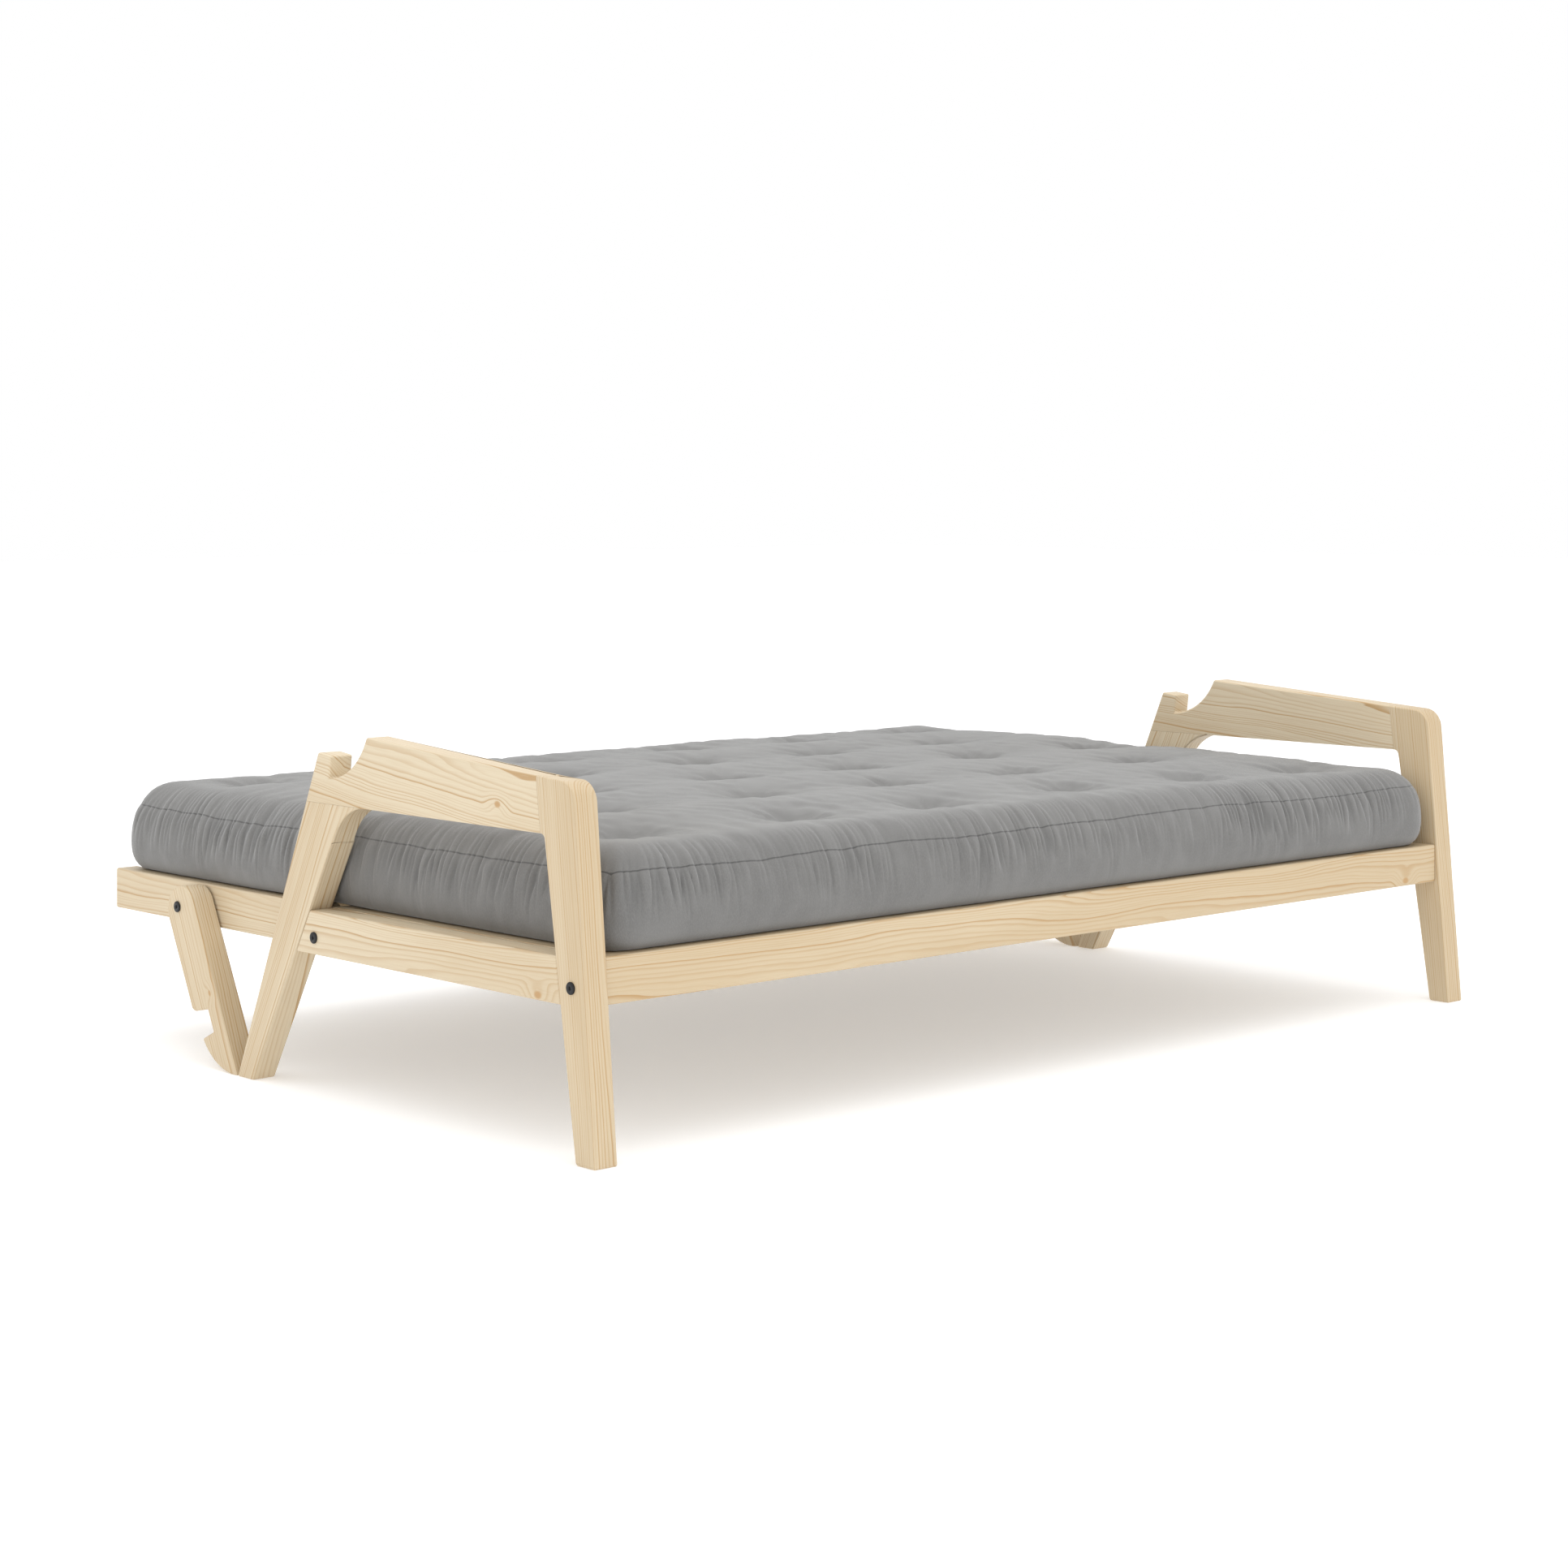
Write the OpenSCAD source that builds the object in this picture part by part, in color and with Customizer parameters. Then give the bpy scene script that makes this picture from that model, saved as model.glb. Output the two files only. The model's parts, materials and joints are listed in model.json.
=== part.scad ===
// Futon sofa bed: a pine frame that is a low sofa or a double bed, with one thick futon.
// It is drawn as a bed. Units are millimetres, +Z is up, X runs along the length and the front faces -Y.
// The origin is the centre of the bed's footprint, on the floor.
// Profiles of the side frame use y from the front foot and z from the floor.

/* [Overall] */
// Length over the two side frames
frame_length = 2040; // [1900:10:2100]
// Depth as a bed, from the front feet to the far end of the backrest
bed_depth = 1364; // [1340:2:1380]
// Thickness of the side boards and the rails
board_t = 42; // [40:0.5:42]

/* [Side frame] */
// Length of the front foot on the floor
front_foot_l = 41.5; // [38:0.5:46]
// Lean of the front leg's front edge, degrees
front_leg_lean = 5; // [4.5:0.1:5.5]
// Lean of the front leg's back edge, degrees
front_leg_back_lean = 8.87; // [8.5:0.01:9.2]
// Radius of the armrest's front corner
arm_corner_r = 34; // [20:1:36]
// Height of the underside of the armrest
arm_under_z = 455; // [450:1:460]
// Height of the armrest's top line above the front foot
arm_top_z = 527.3; // [524:0.1:530]
// Slope of the armrest's top, degrees
arm_slope = 3.78; // [3.5:0.01:4]
// Front of the rear foot
rear_foot_y = 863; // [860:1:866]
// Back of the rear foot
rear_foot_back_y = 908; // [906:0.5:908]
// Lean of the rear leg's front edge, degrees
rear_leg_lean = 29.3; // [29:0.1:29.6]
// Lean of the rear leg's back edge, degrees
rear_leg_back_lean = 23.22; // [23:0.01:23.4]
// Radius of the arch between the rear leg and the armrest
arch_r = 92; // [80:1:95]

/* [Rails and slats] */
// Underside of every rail
rail_z = 219; // [215:1:221]
// Height of the front rail, the side rails and the backrest's rails
rail_h = 68; // [66:1:70]
// Front face of the front rail
front_rail_y = 29; // [28:0.5:30]
// Centre of the seat's rear rail
rear_rail_y = 689; // [686:1:690]
// Thickness of a slat
slat_t = 15; // [14:0.5:16]
// Width of a slat
slat_w = 70; // [60:2:76]
// Height of the frame bolts
bolt_z = 245.5; // [245:0.5:246]

/* [Folding] */
// Backrest hinge, distance behind the front foot
hinge_y = 777; // [776:0.5:778]
// Backrest hinge height
hinge_z = 245.5; // [245:0.5:246]
// Turn of the backrest from bed to sofa, degrees
fold_angle = 72.8; // [72.6:0.1:73]
// Support arm pivot as a bed, distance behind the front foot
pivot_y = 1088.5; // [1088:0.5:1089]
// Support arm pivot height as a bed
pivot_z = 252.5; // [252:0.5:253]
// Turn of a support arm from the armrest back under the bed, degrees
hook_turn = 56.8; // [56.6:0.1:57]
// Width of a support arm
arm_bar_w = 80; // [78:1:80]
// Radius of a support arm's rounded toe
toe_r = 114.5; // [114:0.5:115]
// Play between a hooked support arm and its armrest
hook_play = 1.2; // [1:0.1:1.6]

/* [Futon] */
// Length of the futon
futon_l = 1936; // [1800:2:1940]
// Front of the futon
futon_y = 33; // [30:1:60]
// Back of the futon
futon_back_y = 1356; // [1300:1:1360]
// Thickness of the futon
futon_h = 155; // [100:5:160]

/* [Hidden] */

slats = 12;
half_l = frame_length / 2;
rail_top = rail_z + rail_h;
low_rail_h = rail_h - slat_t;
slat_z = rail_z + low_rail_h;
past = 1; // how far a cutter runs past a face

// colours
pine = "burlywood";
pine_slat = "wheat";
black = "#1c1c1e";
steel = "silver";
grey_cotton = "dimgray";

// hardware sizes
bolt_r = 4;
bolt_hole_r = 4.05;
head_r = 9;
head_t = 2.5;
socket_r = 2.9;
nut_r = 9;
nut_t = 5;
washer_r = 11;
washer_t = 3;
barrel_r = 6;
barrel_l = 22;
insert_r = 7;
insert_l = 24;
dowel_r = 5;
dowel_hole_r = 5.05;
dowel_l = 50;
screw_r = 2;
screw_head_r = 4;
screw_head_t = 2.6;
screw_l = 42;

// side frame, as y and z of its corners
function arm_top(y) = arm_top_z + y * tan(arm_slope);
function front_edge(z) = z * tan(front_leg_lean);
function front_leg_back(z) = front_foot_l + z * tan(front_leg_back_lean);
function rear_leg_front(z) = rear_foot_y - z * tan(rear_leg_lean);
function rear_leg_back(z) = rear_foot_back_y - z * tan(rear_leg_back_lean);
seam_low_y = 122;
seam_top_y = 132;
leg_top_y = 46;
leg_fillet_r = 9;
arch_y = rear_leg_front(arm_under_z - arch_r) - arch_r / cos(rear_leg_lean);
arch_end_y = arch_y + 12;
arch_low_z = 395; // below here the rear leg is straight
knob_top_z = 533;
knob_top = [rear_leg_back(knob_top_z), knob_top_z];
knob_front_top = [645.2, 529.1];
knob_front_foot = [649.7, 492.8];
arm_tip_y = 600; // past the tip, which the recess cuts

// the hinge, the pivot and the hook
function turned(p, a) = [p[0] * cos(a) - p[1] * sin(a), p[0] * sin(a) + p[1] * cos(a)];
hinge = [hinge_y, hinge_z];
pivot = [pivot_y, pivot_z];
hooked_pivot = hinge + turned(pivot - hinge, fold_angle);
toe_y = 921.3; // the toe's centre as a bed
toe_centre = hooked_pivot + turned([toe_y, toe_r] - pivot, -hook_turn);
recess_play = 0.8;
recess_r = toe_r + recess_play;
bar_slope = 6; // slope of a hooked support arm
bar_end_from_pivot = [-7.5, -5.5]; // the rounded end's centre as a bed
bar_end = hooked_pivot + turned(bar_end_from_pivot, -hook_turn);
bar_l = 380;
gap_x = 3; // between a side board and the backrest's rail, filled by the washers
back_rail_x = half_l - board_t - gap_x;
tail_r = rail_h / 2;
tail_y = 761;
lower_rail_y = 812;
top_rail_y = bed_depth - board_t;
back_slat_front = 20; // how far the backrest's slats reach past the lower rail
back_slat_y = lower_rail_y - back_slat_front;

// slats
seat_slat_x = half_l - board_t - gap_x - slat_w / 2;
back_slat_x = back_rail_x - board_t - gap_x - slat_w / 2;
seat_slat_y = front_rail_y + board_t;
slat_end_set_back = 4;
back_slat_end_set_back = 10;
seat_slat_l = rear_rail_y + board_t / 2 - slat_end_set_back - seat_slat_y;
back_slat_l = bed_depth - back_slat_end_set_back - back_slat_y;
ledger_w = 30;
ledger_h = 30;
slat_screw_front = ledger_w / 2;
futon_z = rail_top + 0.5;
futon_gap = 1.5;
futon_edge_r = 28;
futon_foot_r = 12;

// One flat outline standing across X, drawn as y, z. x is the face nearer the middle or the outside.
module across(x, thickness) {
    translate([x, -bed_depth / 2, 0]) rotate([90, 0, 90]) linear_extrude(thickness) children();
}

// A side board: side is -1 on the left and 1 on the right.
module side_board(side) {
    across(side < 0 ? -half_l : half_l - board_t, board_t) children();
}

// A round bar along X at y, z.
module bar_x(x, y, z, r, l, fn = 48) {
    translate([x, y - bed_depth / 2, z]) rotate([0, 90, 0]) cylinder(r = r, h = l, $fn = fn);
}

// A round bar along Y starting at y.
module bar_y(x, y, z, r, l, fn = 32) {
    translate([x, y - bed_depth / 2, z]) rotate([-90, 0, 0]) cylinder(r = r, h = l, $fn = fn);
}

// A round bar upwards from z.
module bar_z(x, y, z, r, l, fn = 32) {
    translate([x, y - bed_depth / 2, z]) cylinder(r = r, h = l, $fn = fn);
}

// The corner p between its neighbours a and b: half its angle, the centre of an arc of radius r in it,
// and where that arc touches the side towards a.
function unit(v) = v / norm(v);
function half_angle(a, p, b) = acos(unit(a - p) * unit(b - p)) / 2;
function arc_centre(a, p, b, r) = p + unit(unit(a - p) + unit(b - p)) * r / sin(half_angle(a, p, b));
function arc_foot(a, p, b, r) = p + unit(a - p) * r / tan(half_angle(a, p, b));

// What a rounding takes off the corner p between its neighbours a and b.
module corner_waste(a, p, b, r) {
    reach = 1.4;
    centre = arc_centre(a, p, b, r);
    ta = arc_foot(a, p, b, r);
    tb = arc_foot(b, p, a, r);
    difference() {
        polygon([centre, centre + (ta - centre) * reach, centre + (p - centre) * reach, centre + (tb - centre) * reach]);
        translate(centre) circle(r = r, $fn = 96);
    }
}

// Where a dowel's middle is: x, y, z, and whether it stands upright.
function side_dowels(side) = [for (d = [[126, 478, 0], [131, 513, 0], [640, arm_under_z, 1], [684, arm_under_z, 1],
    [77, 236, 0], [81, 270, 0], [730.5, 236, 0], [711.5, 270, 0]])
    [side * (half_l - board_t / 2), d[0], d[1], d[2]]];

module dowel(d, r, l) {
    if (d[3] == 1) bar_z(d[0], d[1], d[2] - l / 2, r, l);
    else bar_y(d[0], d[1] - l / 2, d[2], r, l);
}

module side_dowel_holes() {
    for (side = [-1, 1]) for (d = side_dowels(side)) dowel(d, dowel_hole_r, dowel_l + 2);
}

// Holes along X through both side frames
module frame_bolt_holes() {
    for (y = [bolt_y, rear_rail_y]) bar_x(-half_l - past, y, bolt_z, bolt_hole_r, frame_length + 2 * past);
}
bolt_y = 52;
bolt_l = 120;
barrel_x = half_l - 100;

// ---- side frames ----

module front_leg_outline() {
    front_top = [front_edge(arm_top(leg_top_y)), arm_top(leg_top_y)];
    foot = [0, 0];
    foot_back = [front_foot_l, 0];
    inner_corner = [front_leg_back(arm_under_z), arm_under_z];
    seam_foot = [seam_low_y, arm_under_z];
    back_top = [seam_top_y, arm_top(seam_top_y)];
    fillet_centre = arc_centre(foot_back, inner_corner, seam_foot, leg_fillet_r);
    difference() {
        polygon([foot, foot_back, arc_foot(foot_back, inner_corner, seam_foot, leg_fillet_r), fillet_centre,
            arc_foot(seam_foot, inner_corner, foot_back, leg_fillet_r), seam_foot, back_top, front_top]);
        corner_waste(foot, front_top, back_top, arm_corner_r);
        translate(fillet_centre) circle(r = leg_fillet_r, $fn = 96);
    }
}

module front_leg(side) {
    color(pine) difference() {
        side_board(side) front_leg_outline();
        side_dowel_holes();
        frame_bolt_holes();
    }
}

module armrest_outline() {
    knob_face_past = knob_front_top + (knob_front_top - knob_front_foot);
    above = arm_top(arm_tip_y) + recess_r;
    difference() {
        polygon([[seam_low_y, arm_under_z], [rear_leg_back(arm_under_z), arm_under_z], knob_top, knob_front_top,
            [arm_tip_y, arm_top(arm_tip_y)], [seam_top_y, arm_top(seam_top_y)]]);
        intersection() {
            translate(toe_centre) circle(r = recess_r, $fn = 180);
            polygon([knob_front_foot, knob_face_past, [toe_centre[0] - recess_r, above],
                [toe_centre[0] - recess_r, arm_under_z], [knob_front_foot[0], arm_under_z]]);
        }
    }
}

module armrest(side) {
    color(pine) difference() {
        side_board(side) armrest_outline();
        side_dowel_holes();
    }
}

module rear_leg_outline() {
    difference() {
        polygon([[rear_foot_y, 0], [rear_foot_back_y, 0], [rear_leg_back(arm_under_z), arm_under_z],
            [arch_end_y, arm_under_z], [arch_end_y, arch_low_z], [rear_leg_front(arch_low_z), arch_low_z]]);
        translate([arch_y, arm_under_z - arch_r]) circle(r = arch_r, $fn = 180);
    }
}

module rear_leg(side) {
    inner_x = side < 0 ? -half_l + board_t - insert_l : half_l - board_t - past;
    color(pine) difference() {
        side_board(side) rear_leg_outline();
        side_dowel_holes();
        bar_x(inner_x, hinge_y, hinge_z, insert_r, insert_l + past);
    }
}

module side_rail_outline() {
    polygon([[front_leg_back(rail_z), rail_z], [rear_leg_front(rail_z), rail_z],
        [rear_leg_front(rail_top), rail_top], [front_leg_back(rail_top), rail_top]]);
}

module side_rail(side) {
    color(pine) difference() {
        side_board(side) side_rail_outline();
        side_dowel_holes();
        frame_bolt_holes();
    }
}

module side_frame_dowels() {
    color(pine_slat) for (side = [-1, 1]) for (d = side_dowels(side)) dowel(d, dowel_r, dowel_l);
}

// ---- seat base ----

// A rail along X between two faces at -x and x.
module long_rail(x, y, z, w, h) {
    translate([-x, y - bed_depth / 2, z]) cube([2 * x, w, h]);
}

module barrel_holes(y, from) {
    for (side = [-1, 1]) bar_y(side * barrel_x, from, bolt_z, barrel_r, barrel_l + past);
    bolt_end_x = half_l - bolt_l - past;
    for (side = [-1, 1]) bar_x(side < 0 ? -half_l : bolt_end_x, y, bolt_z, bolt_hole_r, half_l - bolt_end_x);
}

module front_rail() {
    color(pine) difference() {
        long_rail(half_l - board_t, front_rail_y, rail_z, board_t, rail_h);
        barrel_holes(bolt_y, front_rail_y + board_t - barrel_l);
        slat_ledger_holes(front_rail_y + 10);
    }
}

module rear_rail() {
    color(pine) difference() {
        long_rail(half_l - board_t, rear_rail_y - board_t / 2, rail_z, board_t, low_rail_h);
        barrel_holes(rear_rail_y, rear_rail_y - board_t / 2 - past);
        screw_holes(slat_xs(seat_slat_x), rear_rail_y, screw_r, slat_z - 30, 30 + past);
    }
}

ledger_screw_z = slat_z - ledger_h / 2;
ledger_screws_n = 9;
ledger_l = frame_length - 2 * board_t - 260;
// a ledger screw stands midway between two slats
function ledger_screw_x(i) = (i - (ledger_screws_n - 1) / 2) * 2 * seat_slat_x / (slats - 1);

module slat_ledger_holes(from) {
    for (i = [0:ledger_screws_n - 1])
        bar_y(ledger_screw_x(i), from, ledger_screw_z, screw_r, seat_slat_y + ledger_w + past - from);
}

module slat_ledger() {
    sink_y = seat_slat_y + ledger_w;
    color(pine) difference() {
        long_rail(ledger_l / 2, seat_slat_y, slat_z - ledger_h, ledger_w, ledger_h);
        slat_ledger_holes(seat_slat_y - past);
        for (i = [0:ledger_screws_n - 1]) screw_head_y(ledger_screw_x(i), sink_y, past);
        screw_holes(slat_xs(seat_slat_x), seat_slat_y + slat_screw_front, screw_r, slat_z - 26, 26 + past);
    }
}

// A countersunk head facing +Y with its flat face at y, running on by extra
module screw_head_y(x, y, extra) {
    translate([x, y - bed_depth / 2 - screw_head_t, ledger_screw_z]) rotate([-90, 0, 0]) {
        cylinder(r1 = screw_r, r2 = screw_head_r, h = screw_head_t, $fn = 24);
        if (extra > 0) translate([0, 0, screw_head_t]) cylinder(r = screw_head_r, h = extra, $fn = 24);
    }
}

module ledger_screws() {
    sink_y = seat_slat_y + ledger_w;
    color(steel) for (i = [0:ledger_screws_n - 1]) {
        bar_y(ledger_screw_x(i), sink_y - screw_l, ledger_screw_z, screw_r, screw_l - screw_head_t, 24);
        screw_head_y(ledger_screw_x(i), sink_y, 0);
    }
}

function slat_xs(edge) = [for (i = [0:slats - 1]) -edge + i * 2 * edge / (slats - 1)];

// Upright holes at each x
module screw_holes(xs, y, r, z, l) {
    for (x = xs) bar_z(x, y, z, r, l, 24);
}

// A countersunk screw head with its flat face at z, running on by extra
module screw_head_z(x, y, z, extra) {
    translate([x, y - bed_depth / 2, z - screw_head_t]) {
        cylinder(r1 = screw_r, r2 = screw_head_r, h = screw_head_t, $fn = 24);
        if (extra > 0) translate([0, 0, screw_head_t]) cylinder(r = screw_head_r, h = extra, $fn = 24);
    }
}

module slat(x, y, l, screw_ys) {
    color(pine_slat) difference() {
        translate([x - slat_w / 2, y - bed_depth / 2, slat_z]) cube([slat_w, l, slat_t]);
        for (sy = screw_ys) {
            bar_z(x, sy, slat_z - past, screw_r, slat_t + past, 24);
            screw_head_z(x, sy, rail_top, past);
        }
    }
}

// Screws through the slats at each x and y; every one sinks to the same depth
module slat_screws(xs, ys, l) {
    color(steel) for (x = xs) for (y = ys) {
        bar_z(x, y, rail_top - l, screw_r, l - screw_head_t, 24);
        screw_head_z(x, y, rail_top, 0);
    }
}

seat_screw_ys = [seat_slat_y + slat_screw_front, rear_rail_y];
back_screw_ys = [lower_rail_y + board_t / 2, top_rail_y + board_t / 2 - 4];
slat_screw_l = 34;

module seat_slat(i) {
    slat(slat_xs(seat_slat_x)[i], seat_slat_y, seat_slat_l, seat_screw_ys);
}

module back_slat(i) {
    slat(slat_xs(back_slat_x)[i], back_slat_y, back_slat_l, back_screw_ys);
}

module seat_slat_screws() {
    slat_screws(slat_xs(seat_slat_x), seat_screw_ys, slat_screw_l);
}

module back_slat_screws() {
    slat_screws(slat_xs(back_slat_x), back_screw_ys, slat_screw_l);
}

// ---- bolts and nuts ----

// A bolt along X: its head's outer face at the outside, side -1 or 1. The shank ends at x = inner.
module pan_bolt(side, y, z, face, inner) {
    color(black) difference() {
        union() {
            bar_x(side < 0 ? -face - head_t : face, y, z, head_r, head_t);
            bar_x(side < 0 ? -face : inner, y, z, bolt_r, face - inner);
        }
        bar_x(side < 0 ? -face - head_t - past : face + head_t - 1.8, y, z, socket_r, 1.8 + past, 6);
    }
}

module frame_bolts() {
    for (side = [-1, 1]) for (y = [bolt_y, rear_rail_y]) pan_bolt(side, y, bolt_z, half_l, half_l - bolt_l);
}

module barrel_nuts() {
    color(steel) difference() {
        for (side = [-1, 1]) {
            bar_y(side * barrel_x, front_rail_y + board_t - barrel_l, bolt_z, barrel_r - 0.05, barrel_l);
            bar_y(side * barrel_x, rear_rail_y - board_t / 2, bolt_z, barrel_r - 0.05, barrel_l);
        }
        frame_bolt_holes();
    }
}

hinge_head_x = back_rail_x - board_t;

module hinge_bolts() {
    for (side = [-1, 1]) color(black) difference() {
        union() {
            bar_x(side < 0 ? -hinge_head_x : hinge_head_x - head_t, hinge_y, hinge_z, head_r, head_t);
            bar_x(side < 0 ? -half_l + board_t - insert_l + 2 : hinge_head_x, hinge_y, hinge_z, bolt_r,
                half_l - board_t + insert_l - 2 - hinge_head_x);
        }
        bar_x(side < 0 ? -hinge_head_x + head_t - 1.8 : hinge_head_x - head_t - past, hinge_y, hinge_z,
            socket_r, 1.8 + past, 6);
    }
}

module hinge_insert_nuts() {
    color(steel) for (side = [-1, 1]) difference() {
        bar_x(side < 0 ? -half_l + board_t - insert_l : half_l - board_t, hinge_y, hinge_z, insert_r - 0.05, insert_l);
        bar_x(-half_l, hinge_y, hinge_z, bolt_hole_r, frame_length);
    }
}

module washers(y, z) {
    color(steel) for (side = [-1, 1]) difference() {
        bar_x(side < 0 ? -half_l + board_t + 0.1 : back_rail_x + 0.1, y, z, washer_r, washer_t - 0.2);
        bar_x(-half_l, y, z, bolt_hole_r, frame_length);
    }
}

// ---- backrest ----

module backrest_rail(side) {
    color(pine) difference() {
        across(side < 0 ? -back_rail_x : back_rail_x - board_t, board_t) {
            translate([tail_y, rail_z]) square([bed_depth - tail_y, rail_h]);
            translate([tail_y, rail_z + tail_r]) circle(r = tail_r, $fn = 96);
        }
        bar_x(-half_l, hinge_y, hinge_z, bolt_hole_r, frame_length);
        bar_x(-half_l, pivot_y, pivot_z, bolt_hole_r, frame_length);
        backrest_dowel_holes();
    }
}

function backrest_dowels_at() = [for (side = [-1, 1]) for (y = [lower_rail_y + 10, lower_rail_y + 32,
    top_rail_y + 10, top_rail_y + 32]) [side * hinge_head_x, y]];

module backrest_dowel_set(r, l) {
    for (d = backrest_dowels_at()) bar_x(d[0] - l / 2, d[1], slat_z - low_rail_h / 2, r, l, 32);
}

module backrest_dowel_holes() {
    backrest_dowel_set(dowel_hole_r, dowel_l + 2);
}

module backrest_cross_rail(y) {
    color(pine) difference() {
        long_rail(hinge_head_x, y, rail_z, board_t, low_rail_h);
        backrest_dowel_holes();
        for (sy = back_screw_ys) screw_holes(slat_xs(back_slat_x), sy, screw_r, slat_z - 30, 30 + past);
    }
}

module backrest_dowels() {
    color(pine_slat) backrest_dowel_set(dowel_r, dowel_l);
}

// ---- support arms ----

// The support arm drawn where it hooks over the armrest's knob
module hooked_support_outline() {
    slope = [cos(bar_slope), sin(bar_slope)];
    up = [-sin(bar_slope), cos(bar_slope)];
    half_w = arm_bar_w / 2;
    notch_back = hook_play / cos(rear_leg_back_lean);
    notch_top_play = 1.5;
    notch_mouth_z = 497;
    notch_low_z = 470;
    notch_front_mouth = [647.4, 500.5];
    notch = [knob_front_top + [-2, notch_top_play], knob_top + [notch_back + 0.4, notch_top_play],
        [rear_leg_back(notch_mouth_z) + notch_back, notch_mouth_z],
        [rear_leg_back(notch_mouth_z) + arm_bar_w / 2, notch_low_z],
        [notch_front_mouth[0] + 3, notch_low_z], notch_front_mouth];
    difference() {
        union() {
            translate(bar_end) circle(r = half_w, $fn = 120);
            polygon([bar_end + up * half_w, bar_end - slope * bar_l + up * half_w,
                bar_end - slope * bar_l - up * half_w, bar_end - up * half_w]);
        }
        polygon(notch);
        difference() {
            translate(toe_centre - [bar_l, bar_l / 2]) square([bar_l - 2, bar_l]);
            translate(toe_centre) circle(r = toe_r, $fn = 240);
        }
    }
}

module support_arm(side) {
    color(pine) difference() {
        side_board(side) translate(pivot) rotate(hook_turn) translate(-hooked_pivot) hooked_support_outline();
        bar_x(-half_l - past, pivot_y, pivot_z, bolt_hole_r, frame_length + 2 * past);
    }
}

module support_pivot_bolts() {
    for (side = [-1, 1]) pan_bolt(side, pivot_y, pivot_z, half_l + 0.1, hinge_head_x - nut_t + 1);
}

module support_pivot_nuts() {
    color(black) for (side = [-1, 1]) difference() {
        bar_x(side < 0 ? -hinge_head_x : hinge_head_x - nut_t, pivot_y, pivot_z, nut_r, nut_t);
        bar_x(side < 0 ? -half_l : hinge_head_x - nut_t + 1, pivot_y, pivot_z, bolt_hole_r, half_l - hinge_head_x + nut_t - 1);
    }
}

// ---- futon ----

// One side of the fold: a line from the hinge that leans by half the fold
function fold_y(z, lean, gap) = hinge_y + (z - hinge_z) * tan(lean) + gap;

module futon_part(points, round_from, r_top, r_foot) {
    across(-futon_l / 2, futon_l) difference() {
        polygon(points);
        if (r_top > 0) {
            corner_waste(points[round_from], points[round_from + 1], points[round_from + 2], r_top);
            corner_waste(points[round_from - 1], points[round_from], points[round_from + 1], r_foot);
        }
    }
}

module mattress_seat() {
    top = futon_z + futon_h;
    color(grey_cotton) futon_part([[fold_y(futon_z, -fold_angle / 2, -futon_gap), futon_z], [futon_y, futon_z],
        [futon_y, top], [fold_y(top, -fold_angle / 2, -futon_gap), top]], 1, futon_edge_r, futon_foot_r);
}

module mattress_back() {
    top = futon_z + futon_h;
    color(grey_cotton) futon_part([[fold_y(futon_z, fold_angle / 2, futon_gap), futon_z], [futon_back_y, futon_z],
        [futon_back_y, top], [fold_y(top, fold_angle / 2, futon_gap), top]], 1, futon_edge_r, futon_foot_r);
}

module mattress_fold() {
    top = futon_z + futon_h;
    color(grey_cotton) futon_part([[fold_y(futon_z, -fold_angle / 2, 0), futon_z],
        [fold_y(futon_z, fold_angle / 2, 0), futon_z], [fold_y(top, fold_angle / 2, 0), top],
        [fold_y(top, -fold_angle / 2, 0), top]], 1, 0, 0);
}

front_leg(-1);  // left_front_leg
armrest(-1);  // left_armrest
rear_leg(-1);  // left_rear_leg
side_rail(-1);  // left_side_rail
front_leg(1);  // right_front_leg
armrest(1);  // right_armrest
rear_leg(1);  // right_rear_leg
side_rail(1);  // right_side_rail
side_frame_dowels();
front_rail();
rear_rail();
slat_ledger();
for (i = [1:slats]) seat_slat(i - 1);
seat_slat_screws();
ledger_screws();
frame_bolts();
barrel_nuts();
hinge_bolts();
hinge_insert_nuts();
washers(hinge_y, hinge_z);  // hinge_washers
backrest_rail(-1);  // left_backrest_rail
backrest_rail(1);  // right_backrest_rail
backrest_cross_rail(lower_rail_y);  // backrest_lower_rail
backrest_cross_rail(top_rail_y);  // backrest_top_rail
for (i = [1:slats]) back_slat(i - 1);
back_slat_screws();
backrest_dowels();
support_pivot_bolts();
support_pivot_nuts();
washers(pivot_y, pivot_z);  // support_washers
support_arm(-1);  // left_support_arm
support_arm(1);  // right_support_arm
mattress_seat();
mattress_fold();
mattress_back();
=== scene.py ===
# %% [markdown]
# # A futon sofa bed in pine
# This lesson finishes a sofa bed that was already drawn as exact parts: boards, rails, slats, bolts and a thick
# futon. The drawn parts carry the sizes and the joints. Here each board gets soft edges and its own grain. The
# futon is shaped by formula, loosened by a short cloth simulation, and then given its gathers. Everything is in
# metres, with Z up. The sofa bed stands as a bed, with its front towards -Y.

import json
import math

import bmesh
import bpy
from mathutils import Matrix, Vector, noise

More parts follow.
